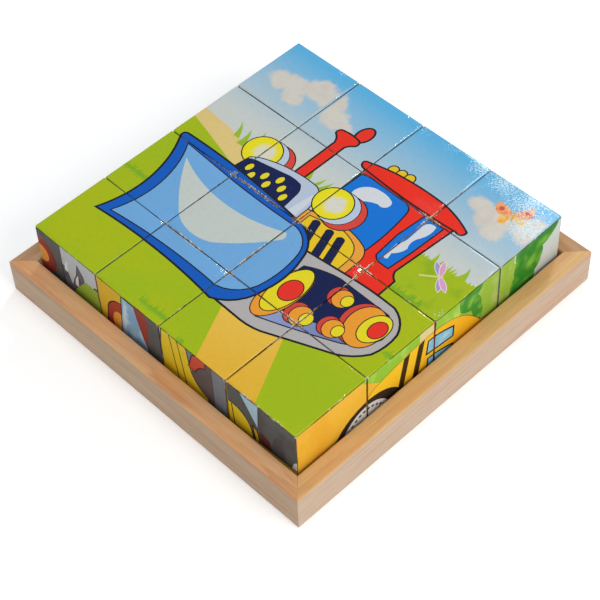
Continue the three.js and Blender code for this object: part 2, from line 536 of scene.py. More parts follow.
def dragonfly(picture, x, y):
    lilac, pink = "#a394c8", "#dd9cc4"
    wings = ((-0.17, 0.13, lilac), (-0.1, 0.19, pink), (0.12, -0.17, lilac), (0.18, -0.12, pink))
    for tip_x, tip_y, paint in wings:
        wing = outline((x, y, 0.28), (x + tip_x, y + tip_y, 0.28))
        picture.fill(grown(wing, 0.008), "#e3dfe0")
        picture.fill(wing, paint)
    picture.stroke(((x - 0.18, y - 0.13), (x + 0.03, y + 0.02)), 0.022, "#d8cf86")


def bulldozer_picture():
    puffs = (
        (0.32, 3.42, 0.2), (0.52, 3.46, 0.24), (0.78, 3.58, 0.25), (1.0, 3.55, 0.23), (1.2, 3.4, 0.23),
        (0.62, 3.3, 0.17), (1.4, 3.36, 0.13), (3.26, 3.52, 0.16), (3.5, 3.45, 0.24), (3.9, 3.6, 0.3),
        (3.6, 3.3, 0.17)
    )
    picture = Picture(sky(2.45, puffs, 11), grain=0.034)
    bulldozer_ground(picture)
    exhaust_pipe(picture)
    headlight(picture, 0.985, 2.46)
    cab(picture)
    hood(picture)
    engine_side(picture)
    headlight(picture, 2.1, 2.445)
    track(picture)
    blade(picture)
    butterfly(picture, 3.62, 3.64, 0.55, 27)
    dragonfly(picture, 3.63, 2.47)
    return picture


# Picture 2, on the right-hand faces: a car on a sandy road.


def car_picture():
    picture = Picture(sky(2.0, ((0.7, 3.3, 0.4), (1.2, 3.45, 0.35), (3.3, 3.3, 0.3)), 21), grain=0.05)
    grass = ((-0.1, 1.9), (1.6, 2.6, 0.2), (3.1, 2.3), (3.3, 0.5), (-0.1, 0.5))
    picture.fill(grass, mottled("#8fbd2e", "#b5d25c", 0.16, 22, 2))
    picture.fill(((1.76, 2.3), (1.78, 1.7), (2.04, 1.7), (1.96, 2.3)), "#d9c98a")
    picture.fill(bush(2.85, 1.3, 0.95, 1.0, 5, 3), mottled("#93b539", "#b5bc6e", 0.16, 25, 2))
    crown = (
        (2.64, 1.4), (2.56, 1.68, 0.2), (2.38, 1.8), (2.36, 2.1), (2.74, 2.1, 0.2), (2.66, 1.86, 0.2),
        (2.72, 1.66, 0.3), (2.7, 1.4)
    )
    picture.fill(crown, mottled("#3a8a2a", "#8dbf45", 0.16, 27, low=-0.2))
    tree = (
        (3.16, 1.2), (3.2, 1.45, 0.2), (3.25, 1.62, 0.15), (3.26, 1.8, 0.15), (3.3, 2.2), (4.0, 2.2),
        (3.94, 1.98, 0.2), (3.86, 1.86, 0.2), (3.7, 1.78, 0.2), (3.69, 1.62, 0.25), (3.6, 1.46, 0.2),
        (3.5, 1.2)
    )
    picture.fill(tree, mottled("#2a8024", "#79b53c", 0.22, 28, low=-0.25))
    sand = ((-0.1, 2.4), (0.85, 2.03), (1.22, 1.72), (1.4, 1.2), (4.1, 1.1), (4.1, -0.1), (-0.1, -0.1))
    picture.fill(sand, mottled("#ecb435", "#e9ab2e", 0.5, 29))
    body = (
        (0.98, 0.6), (0.98, 1.62, 0.15), (1.1, 1.72, 0.03), (1.6, 1.825, 0.05), (2.1, 1.84, 0.12),
        (2.45, 1.7, 0.08), (2.72, 1.4), (3.3, 1.2, 0.3), (3.5, 0.9), (3.45, 0.6)
    )
    picture.draw(body, shaded("#f4c024", "#efae1f", (1.5, 1.7), (2.6, 1.5)), 0.007)
    for x, high in ((1.44, 1.8), (1.66, 1.82)):
        picture.fill(((x, 1.3), (x + 0.1, high), (x + 0.19, high + 0.02), (x + 0.09, 1.3)), "#38260f")
    for low, high in ((1.56, 1.76), (1.1, 1.47)):
        right = ((2.05, high - 0.01, 0.04), (2.29, high - 0.09), (2.285, low - 0.05))
        pane = ((1.88, low), (1.905, high), *right)
        picture.draw(pane, mottled("#7dbcd9", "#c4d3c8", 0.12, 30), 0.024)
    wheel(picture, 1.02, 1.05, 0.56, slots=34)
    wheel(picture, 2.85, 0.7, 0.5, slots=34)
    return picture


# Picture 3, on the front faces: a loader in a quarry. Its cubes are in mixed order.


def loader_picture():
    picture = Picture(sky(2.4, ((0.6, 3.5, 0.4), (2.6, 3.6, 0.4)), 31), grain=0.06)
    quarry = (
        (-0.1, 3.0), (1.0, 3.2), (2.2, 3.15), (2.46, 3.05), (2.5, 2.8), (2.6, 1.0), (4.1, 0.9), (4.1, 0.4),
        (-0.1, 0.4)
    )
    picture.fill(quarry, mottled("#585a58", "#4f494a", 0.4, 32))
    picture.fill(((2.4, 2.3), (2.42, 3.05), (4.1, 3.0), (4.1, 2.3)), "#b9bcbc")
    ridge = (
        (2.4, 2.2), (2.4, 2.7), (2.47, 2.66), (2.54, 2.45), (2.6, 2.6), (2.64, 2.68), (2.68, 2.88),
        (2.76, 2.75), (2.8, 2.5), (2.95, 2.72), (4.1, 2.8), (4.1, 2.2)
    )
    picture.draw(ridge, mottled("#66656c", "#4d4b55", 0.1, 33), 0.012)
    for x, y in ((2.44, 2.62), (2.6, 2.5), (2.74, 2.52)):
        picture.fill(((x, y, 0.2), (x + 0.07, y + 0.2), (x + 0.05, y)), "#d9d9d6")
    picture.fill(((2.48, 2.2), (2.6, 2.44), (2.8, 2.7), (4.1, 2.55), (4.1, 2.2)), "#93ab37")
    picture.fill(((3.3, 1.0), (3.3, 2.1), (4.1, 2.1), (4.1, 1.0)), "#75787f")
    picture.fill(((3.4, 1.1), (3.48, 1.7), (3.6, 2.0), (3.8, 2.0), (3.8, 1.1)), "#5d5150")
    picture.fill(((-0.1, 1.2), (4.1, 1.0), (4.1, -0.1), (-0.1, -0.1)), meadow(34, "#8d9f35", "#7c8f2a"))
    picture.draw(((2.9, 0.9), (3.05, 2.1), (3.4, 2.1), (3.45, 1.7, -0.3), (3.7, 1.4), (3.7, 0.9)), "#e2c023")
    for x in (3.15, 3.27):
        picture.stroke(((x + 0.1, 1.3), (x, 2.05)), 0.014)
    lamp = ((3.43, 1.72), (3.5, 1.95, 0.3), (3.7, 2.0), (3.7, 1.9, -0.2), (3.53, 1.7))
    picture.draw(lamp, "#c9482f", 0.014)
    engine = ((0.9, 1.2), (0.9, 1.68, 0.1), (1.15, 1.69, 0.25), (1.34, 1.5), (1.4, 1.2))
    picture.draw(engine, "#dfbf25", 0.02)
    picture.stroke(((1.06, 1.68), (1.1, 1.2)), 0.016)
    picture.draw(((1.36, 1.58, 0.3), (1.44, 1.5), (1.48, 1.2), (1.42, 1.2)), "#c9a522", 0.02)
    picture.fill(((1.48, 1.3), (1.46, 1.58), (1.6, 1.54), (1.68, 1.3)), "#5a2a2c")
    picture.fill(((1.6, 1.2), (1.66, 1.6, 0.3), (1.8, 1.76), (1.86, 1.2)), "#4c4a50")
    picture.draw(((1.15, 2.05), (1.47, 2.05), (1.44, 1.6)), "#a2bfcb", 0.012)
    picture.fill(((1.9, 1.35), (1.95, 1.5), (2.02, 1.58), (2.02, 1.35)), "#d5d0c8")
    picture.draw(((-0.1, 1.3), (-0.1, 3.0), (0.45, 3.0), (0.36, 2.3), (1.0, 1.3)), "#dbae2b")
    picture.draw(((0.1, 2.3), (0.14, 2.55, 0.3), (0.34, 2.82), (0.42, 2.84), (0.42, 2.3)), "#a63d2c", 0.016)
    picture.fill(ellipse(0.33, 2.42, 0.12, 0.22), "#e89b3b")
    chute = ((0.32, 2.2), (0.37, 2.6), (0.41, 2.97), (0.62, 2.97), (0.76, 2.45), (0.77, 2.2))
    picture.draw(chute, mottled("#7fa6c2", "#c4d6dd", 0.1, 35, 4), 0.014)
    picture.fill(((0.6, 2.99), (0.78, 2.99, 0.14), (0.8, 2.66, 0.06), (0.75, 2.42, 0.06)), "#94382f")
    picture.draw(((0.0, 0.8), (0.1, 1.3), (2.1, 1.4), (3.0, 1.25), (3.0, 0.8)), "#dfbf25")
    picture.fill(ellipse(2.04, 2.6, 0.25, 0.27), shaded("#97382f", "#6f3230", (2.1, 2.6), (2.3, 2.6)))
    picture.fill(ellipse(2.04, 2.6, 0.12, 0.13), "#e39a3f")
    for x in (0.7, 2.3):
        wheel(picture, x, 0.75, 0.5, hub="#d7402f", slots=0)
    return picture


# Pictures 4 to 6, on the faces that are hidden in the tray: a tipper, a crane and a road roller.


def roadside(seed):
    """Sky, hills, grass and a road, for a vehicle to stand on."""
    chance = random.Random(seed)
    ranges = ((0.3, 3.7), (3.2, 3.8), (0.2, 0.4))
    puffs = [tuple(chance.uniform(*limits) for limits in ranges) for _ in range(7)]
    picture = Picture(sky(1.8, puffs, seed), grain=0.09)
    for x in (0.5, 1.9, 3.4):
        hill = bush(x, 1.4, 1.9, 0.9, 3, seed + round(10 * x))
        picture.fill(hill, mottled("#8fbb3a", "#a9c84e", 0.4, seed + 1))
    picture.fill(((-0.1, 1.75), (2, 1.7, 0.02), (4.1, 1.78), (4.1, -0.1), (-0.1, -0.1)), meadow(seed + 2))
    road = ((-0.1, 0.9), (4.1, 1.0), (4.1, 0.25), (-0.1, 0.2))
    picture.fill(road, mottled("#e3bd55", "#d9ae45", 0.3, seed + 3))
    return picture


def tipper_picture():
    picture = roadside(41)
    picture.draw(((0.25, 0.85), (0.25, 1.1), (3.7, 1.1), (3.7, 0.85)), "#4a5260")
    picture.draw(((0.3, 1.25), (0.1, 2.3), (2.45, 2.3), (2.3, 1.25)), "#e5922b", 0.02)
    for x in (0.6, 1.05, 1.5, 1.95):
        picture.draw(((x, 1.3), (x - 0.03, 2.2), (x + 0.1, 2.2), (x + 0.08, 1.3)), "#f0b13a")
    picture.fill(bush(1.3, 2.3, 1.9, 0.4, 6, 42), mottled("#a9875a", "#8d6b42", 0.1, 43))
    roof = ((2.5, 2.45, 0.2), (2.7, 2.6), (3.2, 2.6, 0.2))
    picture.draw(((2.55, 1.0), *roof, (3.55, 1.8), (3.8, 1.6, 0.2), (3.85, 1.0)), "#2f7fc4", 0.02)
    picture.draw(((2.75, 1.85), (2.75, 2.4), (3.15, 2.4, 0.1), (3.4, 1.85)), "#bfdbe6")
    picture.draw(ellipse(3.72, 1.25, 0.1), "#f1e04a")
    for x in (0.75, 1.6, 3.2):
        wheel(picture, x, 0.75, 0.36, slots=6)
    return picture


def crane_picture():
    picture = roadside(51)
    picture.draw(((0.3, 0.8), (0.3, 1.2), (3.6, 1.2), (3.6, 0.8)), "#3c7f4a", 0.02)
    picture.draw(((2.3, 1.3), (3.6, 3.55), (3.75, 3.45), (2.75, 1.3)), "#e8c02a", 0.02)
    for i in range(6):
        x, y = 2.62 + 0.19 * i, 1.62 + 0.33 * i
        picture.stroke(((x - 0.08, y), (x + 0.17, y + 0.1)), 0.02)
    picture.stroke(((3.66, 3.48), (3.66, 2.5)), 0.02)
    picture.stroke(((3.66, 2.5), (3.66, 2.35, 0.9), (3.52, 2.35)), 0.04)
    cabin = ((1.3, 1.2), (1.3, 2.4, 0.15), (1.5, 2.55), (2.3, 2.55, 0.15), (2.6, 1.9), (2.6, 1.2))
    picture.draw(cabin, "#d8432f", 0.02)
    picture.draw(((1.75, 1.7), (1.75, 2.35), (2.2, 2.35, 0.1), (2.42, 1.7)), "#b8d9e8")
    picture.draw(((0.5, 1.2), (0.5, 1.95, 0.3), (1.3, 1.95), (1.3, 1.2)), "#e8c02a", 0.02)
    for x in (0.7, 1.5, 2.4, 3.2):
        wheel(picture, x, 0.7, 0.32, slots=5, hub="#c9ced2")
    return picture


def roller_picture():
    picture = roadside(61)
    body = ((0.9, 1.0), (0.9, 1.9, 0.2), (1.1, 2.05), (3.1, 2.05, 0.3), (3.5, 1.7), (3.5, 1.0))
    picture.draw(body, "#7a4fb0", 0.02)
    picture.draw(((1.55, 2.05), (1.6, 3.05), (2.75, 3.05), (2.8, 2.05)), "#c3dfe9", 0.02)
    picture.draw(((1.4, 3.0), (1.45, 3.2, 0.06), (2.95, 3.2), (3.0, 3.0)), "#e9a72c", 0.02)
    picture.stroke(((2.2, 2.05), (2.2, 3.0)), 0.04)
    for x in (2.3, 2.6, 2.9, 3.2):
        picture.draw(((x, 1.5), (x, 1.85), (x + 0.12, 1.85), (x + 0.12, 1.5)), "#2b2350")
    picture.draw(ellipse(0.95, 0.85, 0.6), mottled("#9aa3ab", "#b4bcc2", 0.2, 62), 0.03)
    picture.draw(ellipse(0.95, 0.85, 0.2), "#e9a72c", 0.02)
    picture.draw(((0.85, 0.8), (1.05, 0.8), (1.2, 1.6), (0.9, 1.6)), "#e9a72c", 0.02)
    wheel(picture, 2.95, 0.8, 0.52, slots=8, hub="#e0a13a")
    return picture


# ---------------------------------------------------------------- materials


class Finish:
    """A material and the means to build its nodes."""

    def __init__(self, name):
        self.material = bpy.data.materials.new(name)
        self.material.use_nodes = True
        self.tree = self.material.node_tree
        self.shader = self.tree.nodes["Principled BSDF"]

    def feed(self, node, inputs):
        for name, value in inputs.items():
            if isinstance(value, bpy.types.NodeSocket):
                self.tree.links.new(value, node.inputs[name])
            else:
                node.inputs[name].default_value = value

    def add(self, kind, inputs, out=0, **settings):
        """A new node's output."""
        node = self.tree.nodes.new("ShaderNode" + kind)
        for name, value in settings.items():
            setattr(node, name, value)
        self.feed(node, inputs)
        return node.outputs[out]

    def maths(self, operation, *values):
        return self.add("Math", dict(enumerate(values)), operation=operation)

    def vectors(self, operation, *values, out=0):
        return self.add("VectorMath", dict(enumerate(values)), out, operation=operation)

    def near(self, place, x, y, radius, edge, share):
        """That share within a circle, falling to nothing between its edge and the radius."""
        away = self.vectors("DISTANCE", place, (x, y, 0), out=1)
        return self.between(away, radius, radius * edge, 0.0, share)

    def moved(self, vector, scale=(1, 1, 1), place=(0, 0, 0), turn=(0, 0, 0)):
        """A vector scaled, turned and shifted."""
        return self.add("Mapping", {"Vector": vector, "Location": place, "Rotation": turn, "Scale": scale})

    def noise(self, vector, scale, detail=3.0, rough=0.55, twist=0.0):
        inputs = {"Scale": scale, "Detail": detail, "Roughness": rough, "Distortion": twist}
        return self.add("TexNoise", {"Vector": vector, **inputs})

    def between(self, value, low, high, to_low=0.0, to_high=1.0):
        """A value's range mapped smoothly to another range."""
        inputs = {"Value": value, "From Min": low, "From Max": high, "To Min": to_low, "To Max": to_high}
        return self.add("MapRange", inputs, interpolation_type="SMOOTHSTEP")

    def mix(self, share, first, second, blend="MIX"):
        """Two colours mixed; a colour is a code or a socket."""
        first, second = (opaque(c) if isinstance(c, str) else c for c in (first, second))
        return self.add("Mix", {0: share, 6: first, 7: second}, out=2, data_type="RGBA", blend_type=blend)

    def bump(self, height, strength, distance, under=None):
        inputs = {"Height": height, "Strength": strength, "Distance": distance}
        if under:
            inputs["Normal"] = under
        return self.add("Bump", inputs)

    def shade(self, **inputs):
        """Sets the shader's inputs, with underscores for the spaces in their names."""
        self.feed(self.shader, {name.replace("_", " "): value for name, value in inputs.items()})
        return self.material


def opaque(code):
    return (*linear(code), 1)


RIM_WEAR, SCUFF_WEAR, CORNER_WEAR = 0.014, 0.021, 0.05  # widths worn off the print, in tiles
WAVE_HEIGHT, EMBOSS_HEIGHT, WEAR_DEPTH = 0.4 * MM, 0.06 * MM, 0.05 * MM


def print_wear(kit, place, spot, reach, scuffs):
    """The share worn off at a film's rims and corners, the distance to its rim, and its raggedness."""
    from_middle = kit.vectors("SUBTRACT", kit.vectors("FRACTION", place), (0.5, 0.5, 0))
    left = kit.vectors("SUBTRACT", (*(reach / TILE), 1), kit.vectors("ABSOLUTE", from_middle))
    across, up, _ = kit.add("SeparateXYZ", {"Vector": left}).node.outputs
    rim = kit.maths("MINIMUM", across, up)
    corner = kit.maths("ADD", across, up)
    ragged = kit.noise(spot, 46, 4, 0.7)
    wear = kit.between(kit.noise(spot, 2.6, 2, 0.5), 0.5, 0.75, 0.0, RIM_WEAR)
    for scuff in scuffs:
        wear = kit.maths("MAXIMUM", wear, kit.near(place, *scuff, 0.4, SCUFF_WEAR))
    worn_width = kit.maths("MULTIPLY", wear, kit.between(ragged, 0.44, 0.6))
    worn_rim = kit.between(kit.maths("SUBTRACT", worn_width, rim), -0.001, 0.002)
    bitten = kit.maths("SUBTRACT", kit.maths("MULTIPLY", ragged, CORNER_WEAR), corner)
    worn = kit.maths("MAXIMUM", worn_rim, kit.between(bitten, -0.003, 0.003))
    return worn, rim, ragged


def print_colour(kit, place, spot, rim, ragged, rim_dirt_and_shade, painted_glints):
    """The artwork with its dust, the dirt and painted shade along its rims, and its painted pale glints."""
    ink = kit.add("Attribute", {}, attribute_name="ink", attribute_type="GEOMETRY")
    dust = kit.between(kit.noise(spot, 17, 5, 0.7), 0.42, 0.8, 0.0, 0.07)
    dusted = kit.mix(dust, ink, "#2b2620", "MULTIPLY")
    dot = kit.between(kit.noise(spot, 150, 2), 0.3, 0.7, 0.0, 0.08)
    dotted = kit.mix(dot, dusted, "#8a8a86", "SOFT_LIGHT")
    ragged_rim = kit.maths("ADD", rim, kit.maths("MULTIPLY", kit.maths("SUBTRACT", ragged, 0.5), 0.006))
    rim_dirt_and_shade_width = kit.between(kit.noise(spot, 1.7, 3), 0.4, 0.62, rim_dirt_and_shade * 0.2, rim_dirt_and_shade)
    # Darker towards the film's rims: dirt, and painted shade in the seams between the cubes.
    dirtied_and_shaded = kit.mix(kit.between(ragged_rim, 0.0, rim_dirt_and_shade_width, 0.9, 0.0), dotted, "#33291c", "MULTIPLY")
    if not painted_glints:
        return dirtied_and_shaded
    # Pale specks painted into the colour, most of them near the glossy spot: painted glints of the lacquer.
    fleck = kit.noise(kit.moved(spot, turn=(0, 0, 0.6), scale=(1, 1.5, 1)), 46, 1, 0.5, 0.3)
    for patch in painted_glints:
        fleck = kit.maths("ADD", fleck, kit.near(place, *patch, 0.3, 0.2))
    return kit.mix(kit.between(fleck, 0.79, 0.87, 0.0, 0.75), dirtied_and_shaded, "#d8f1fa")


def print_finish(name, seed, reach, gloss, rim_dirt_and_shade, scuffs=(), painted_glints=()):
    """Printed, embossed and lacquered film. The artwork is in the colour attribute "ink", whose alpha is 0
    on the film's cut edges and underside. The UV map "artwork" is in tiles, so its whole numbers are the
    seams. reach is the film's half size, and gloss its lacquer's share where it isn't worn. grime is the
    width in tiles of the darkening along the rims, which is dirt and painted shade between the cubes. scuffs
    are the places (x, y, radius) where the rims are worn most. crazed gives those where fine pale specks are
    painted into the colour as painted glints of the lacquer."""
    kit = Finish(name)
    place = kit.add("UVMap", {}, uv_map="artwork")
    spot = kit.moved(place, place=(seed, 0, 0))
    worn, rim, ragged = print_wear(kit, place, spot, reach, scuffs)
    specks = kit.between(kit.noise(spot, 55, 2, 0.6), 0.775, 0.795, 0.0, 0.7)
    paper = kit.mix(kit.between(kit.noise(spot, 9, 3), 0.46, 0.56), PAPER, OLD_PASTE)
    clean = print_colour(kit, place, spot, rim, ragged, rim_dirt_and_shade, painted_glints)
    colour = kit.mix(kit.maths("MAXIMUM", worn, specks), clean, paper)

    emboss = kit.noise(kit.moved(spot, turn=(0, 0, 0.4), scale=(1, 1.35, 1)), 40, 1, 0.5, 0.4)
    waves = kit.bump(kit.noise(spot, 2.2, 1), 0.2, WAVE_HEIGHT)
    relief = kit.bump(emboss, 0.7, EMBOSS_HEIGHT, waves)
    scuffed = kit.bump(worn, 0.5, WEAR_DEPTH, relief)
    printed = kit.add("Attribute", {}, out=3, attribute_name="ink", attribute_type="GEOMETRY")
    bare = kit.maths("SUBTRACT", 1.0, printed)
    lacquer = kit.maths("MULTIPLY", kit.maths("SUBTRACT", 1.0, kit.maths("MAXIMUM", worn, bare)), gloss)
    smeared = kit.between(kit.noise(spot, 9, 4, 0.65), 0.3, 0.75, 0.5, 0.62)
    rough = kit.maths("ADD", smeared, kit.maths("MULTIPLY", worn, 0.3))
    return kit.shade(
        Base_Color=colour, Roughness=rough, Normal=scuffed, Specular_IOR_Level=0.05, Coat_Weight=lacquer,
        Coat_Roughness=0.08, Coat_Normal=relief,
    )


GRAIN_TILT = (0.02, 0.01)  # how far the grain strays from a piece's length, in radians


def wood_finish(name, seed, top, side, pith, ring=1.5, contrast=0.5, warmth=0.4, fleck=0.2):
    """Sawn and sanded pine whose grain runs along X: top is its colour on the upper face and side elsewhere,
    a painted difference of light and shade between them.
    ring is the width of a year's growth and pith the place of the trunk's middle, in millimetres. contrast,
    warmth and fleck are the shares of the rings, of the redder patches and of the dark pores."""
    kit = Finish(name)
    local = kit.add("TexCoord", {}, out=3)
    spot = kit.moved(local, scale=(1 / MM,) * 3, turn=(0, *GRAIN_TILT))
    shifted = kit.moved(spot, place=(seed * 211.0, 0, 0))

    def streaks(along, across, detail, rough=0.55):
        """Noise drawn out along the grain; along and across are its frequencies."""
        return kit.noise(kit.moved(shifted, scale=(along, across, across)), 1, detail, rough)

    _, y, z = kit.add("SeparateXYZ", {"Vector": kit.moved(spot, place=(0, -pith[0], -pith[1]))}).node.outputs
    away = kit.maths("SQRT", kit.maths("ADD", kit.maths("POWER", y, 2.0), kit.maths("POWER", z, 2.0)))
    bend = kit.maths("MULTIPLY", streaks(0.014, 0.07, 2, 0.5), 4.0)
    swayed = kit.maths("ADD", bend, kit.maths("MULTIPLY", streaks(0.06, 0.5, 3, 0.6), 0.7))
    year = kit.maths("FRACT", kit.maths("DIVIDE", kit.maths("ADD", away, swayed), ring))
    late = kit.maths("MULTIPLY", kit.between(year, 0.2, 0.88), kit.between(year, 1.0, 0.9))
    patchy = kit.between(streaks(0.012, 0.1, 2), 0.35, 0.65, 0.3, 1.0)
    grain = kit.maths("MULTIPLY", late, patchy)
    fibre = streaks(0.08, 2.2, 4, 0.65)
    broad = streaks(0.018, 0.3, 2)
    pores = streaks(0.3, 2.8, 2, 0.5)

    height = kit.add("SeparateXYZ", {"Vector": local}).node.outputs[2]
    # The upper face and the other faces get different colours: painted light and shade.
    painted_top_and_side = kit.mix(kit.between(height, RAIL_HEIGHT - 0.9 * MM, RAIL_HEIGHT - 0.15 * MM), side, top)
    warm = kit.mix(kit.between(broad, 0.45, 0.7, 0.0, warmth), painted_top_and_side, "#f3b988", "MULTIPLY")
    grained = kit.mix(kit.maths("MULTIPLY", grain, contrast), warm, "#c99f78", "MULTIPLY")
    fibrous = kit.mix(kit.between(fibre, 0.35, 0.7, 0.0, 0.16), grained, "#8c7666", "MULTIPLY")
    colour = kit.mix(kit.between(pores, 0.66, 0.76, 0.0, fleck), fibrous, "#8a6844")
    raised = kit.bump(fibre, 0.4, 0.06 * MM)
    relief = kit.bump(grain, 0.3, 0.05 * MM, raised)
    rough = kit.between(fibre, 0.3, 0.7, 0.46, 0.6)
    return kit.shade(Base_Color=colour, Roughness=rough, Normal=relief, Specular_IOR_Level=0.4)


def board_finish(name):
    """Thin hardboard: a felt of brown fibres."""
    kit = Finish(name)
    local = kit.add("TexCoord", {}, out=3)
    spot = kit.moved(local, scale=(1 / MM,) * 3)
    felt = kit.noise(kit.moved(spot, scale=(0.5, 1.4, 1.4), turn=(0, 0, 0.5)), 1, 5, 0.7, 1.5)
    blotch = kit.noise(spot, 0.06, 3)
    board = kit.mix(kit.between(felt, 0.3, 0.7), "#c39a6b", "#9c7448")
    colour = kit.mix(kit.between(blotch, 0.35, 0.7, 0, 0.4), board, "#d9b98c")
    rough = kit.between(felt, 0.3, 0.7, 0.6, 0.8)
    return kit.shade(Base_Color=colour, Roughness=rough, Normal=kit.bump(felt, 0.6, 0.1 * MM))


# ---------------------------------------------------------------- pieces


SHARP_ANGLE = math.radians(38)


def add_object(name, data):
    thing = bpy.data.objects.new(name, data)
    bpy.context.scene.collection.objects.link(thing)
    return thing


def new_piece(name, vertices, faces, finish, body, slot, matrix):
    """A piece from vertices in its own frame, in metres."""
    mesh = bpy.data.meshes.new(name)
    mesh.from_pydata([tuple(v) for v in vertices], [], [tuple(f) for f in faces])
    mesh.materials.append(finish)
    mesh.shade_smooth()
    mesh.set_sharp_from_angle(angle=SHARP_ANGLE)
    piece = add_object(name, mesh)
    piece.matrix_world = matrix
    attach(piece, body)
    return piece


class Cube:
    """One cube's place in the tray, where each is turned by a little of its play."""

    def __init__(self, column, row):
        self.column, self.row = column, row
        self.name = f"{COLUMNS[column]}{row + 1}"
        self.body = f"cube_{self.name}"
        number = column + COUNT * row
        slack = (PITCH - CUBE) / 5
        turn = slack / (CUBE / 2) * math.sin(1.7 * number + 1)
        middle = centre_of(self.body)
        place = Matrix.Translation((middle.x, middle.y, BASE_TOP + CUBE / 2))
        self.matrix = place @ Matrix.Rotation(turn, 4, "Z")


def wrapped_reach(*degrees):
    """From a film's middle to its edges sideways and upwards, measured along it, where it goes that far
    round the cube's edges."""
    return np.array([FLAT + EDGE_RADIUS * math.radians(angle) for angle in degrees])


END_REACH, SIDE_REACH = wrapped_reach(60, 60), wrapped_reach(42, 26)


class Face:
    """One side of the cubes: which way is right and up on its picture, which of the picture's tiles is on
    the cube in a column and row, and whether that piece is also a node of the frame. Films go further round
    the edges of the top and bottom than round those of the sides."""

    def __init__(self, name, right, up, tile, shown, slot="picture_side_print"):
        self.name, self.tile, self.shown, self.slot = name, tile, shown, slot
        self.reach = SIDE_REACH if up[2] else END_REACH
        right, up = Vector(right), Vector(up)
        self.turn = Matrix((right, up, right.cross(up))).transposed().to_4x4()


LAST = COUNT - 1
MIXED_COLUMNS, MIXED_ROWS, MIXED_ORDER = (2, 0, 3, 1), (2, 2, 1, 1), (0, 1, 3, 2)
RIGHT_ROWS = (3, 2, 0, 1)


def mixed_tile(column, row):
    """The tile of the loader on the front of a cube."""
    return MIXED_COLUMNS[column], (MIXED_ROWS[column] + MIXED_ORDER[row]) % COUNT


FACES = (
    Face("top", (1, 0, 0), (0, 1, 0), lambda c, r: (c, r), lambda c, r: True, "picture_sky_print"),
    Face("right", (0, 1, 0), (0, 0, 1), lambda c, r: (r, RIGHT_ROWS[c]), lambda c, r: c == LAST),
    Face("front", (1, 0, 0), (0, 0, 1), mixed_tile, lambda c, r: r == 0),
    Face("left", (0, -1, 0), (0, 0, 1), lambda c, r: (LAST - r, (c + 2) % COUNT), lambda c, r: c == 0),
    Face("back", (-1, 0, 0), (0, 0, 1), lambda c, r: (LAST - c, (r + 1) % COUNT), lambda c, r: r == LAST),
    Face("bottom", (1, 0, 0), (0, -1, 0), lambda c, r: (c, LAST - r), lambda c, r: False),
)


def film_outline(half, chance):
    """The outline of one film round its middle, in tiles, from its half width and half height: a rectangle
    with worn corners and a few nicks."""
    unit = MM / TILE
    radii = [chance.uniform(0.45, 1.25) * unit for _ in range(4)]
    line = []
    for side in range(4):
        before, after = radii[side - 1], radii[side]
        along, across = half[side % 2], half[1 - side % 2]
        places = np.linspace(-along + before, along - after, 15)
        depths = [abs(chance.gauss(0, 0.035)) * unit for _ in places]
        depths[chance.randrange(2, 13)] += chance.uniform(0.0, 0.28) * unit
        depths[0] = depths[-1] = 0
        points = [complex(x, -across + depth) for x, depth in zip(places, depths)]
        for step in (-0.75, -0.5, -0.25):
            turn = QUARTER * step
            round_corner = after * complex(math.cos(turn), math.sin(turn))
            points.append(complex(along - after, after - across) + round_corner)
        line += [point * 1j**side for point in points]
    return np.array([(p.real, p.imag) for p in line])


def rectangle(half):
    return np.array(((-1, -1), (1, -1), (1, 1), (-1, 1))) * half


def cut_up(picture, reach, chance):
    """The sixteen pieces of a picture: places in tiles, triangles, and the colours of their corners."""
    bends = [rectangle((FLAT + (reach - FLAT) * share) / TILE) for share in (0.0, 0.35, 0.7)]
    outlines, cuts = {}, []
    for column in range(COUNT):
        for row in range(COUNT):
            middle = np.array((column + 0.5, row + 0.5))
            outlines[column, row] = film_outline(reach / TILE, chance) + middle
            cuts += [outlines[column, row]] + [bend + middle for bend in bends]
    places, faces, colours = picture.triangles(cuts)
    middles = places[faces].mean(1)
    pieces = {}
    for tile, loop in outlines.items():
        mine = inside(loop, middles)
        used, back = np.unique(faces[mine], return_inverse=True)
        pieces[tile] = places[used], back.reshape(-1, 3), colours[mine]
    return pieces


def wrapped(spots, depth):
    """The places on a cube, with the face upwards, of spots on a film, or of spots that far under it."""
    turn = np.clip(np.abs(spots) - FLAT, 0, None) / EDGE_RADIUS
    radius = EDGE_RADIUS - depth
    flat = np.clip(spots, -FLAT, FLAT) + np.sign(spots) * np.sin(turn) * radius
    height = FLAT + radius * (np.cos(turn).sum(1) - 1)
    return np.column_stack((flat, height))


def underside(spots, rim):
    """The film's underside: more spots inside its rim, and triangles. Its first spots are the rim's."""
    edge = list(dict.fromkeys(i for pair in rim for i in pair))
    number = {corner: i for i, corner in enumerate(edge)}
    points = [Vector(spots[i]) for i in edge] + [Vector(p) for p in rectangle(FLAT * 0.99)]
    edges = [(number[a], number[b]) for a, b in rim]
    edges += [(len(edge) + i, len(edge) + (i + 1) % 4) for i in range(4)]
    found, _, faces, sources, *_ = delaunay_2d_cdt(points, edges, [], 1, 1e-9, True)
    first_source = [min(s) if s else len(points) for s in sources]
    order = sorted(range(len(found)), key=lambda i: first_source[i])
    rank = {old: new for new, old in enumerate(order)}
    return edge, np.array([tuple(found[i]) for i in order]), [[rank[i] for i in face] for face in faces]


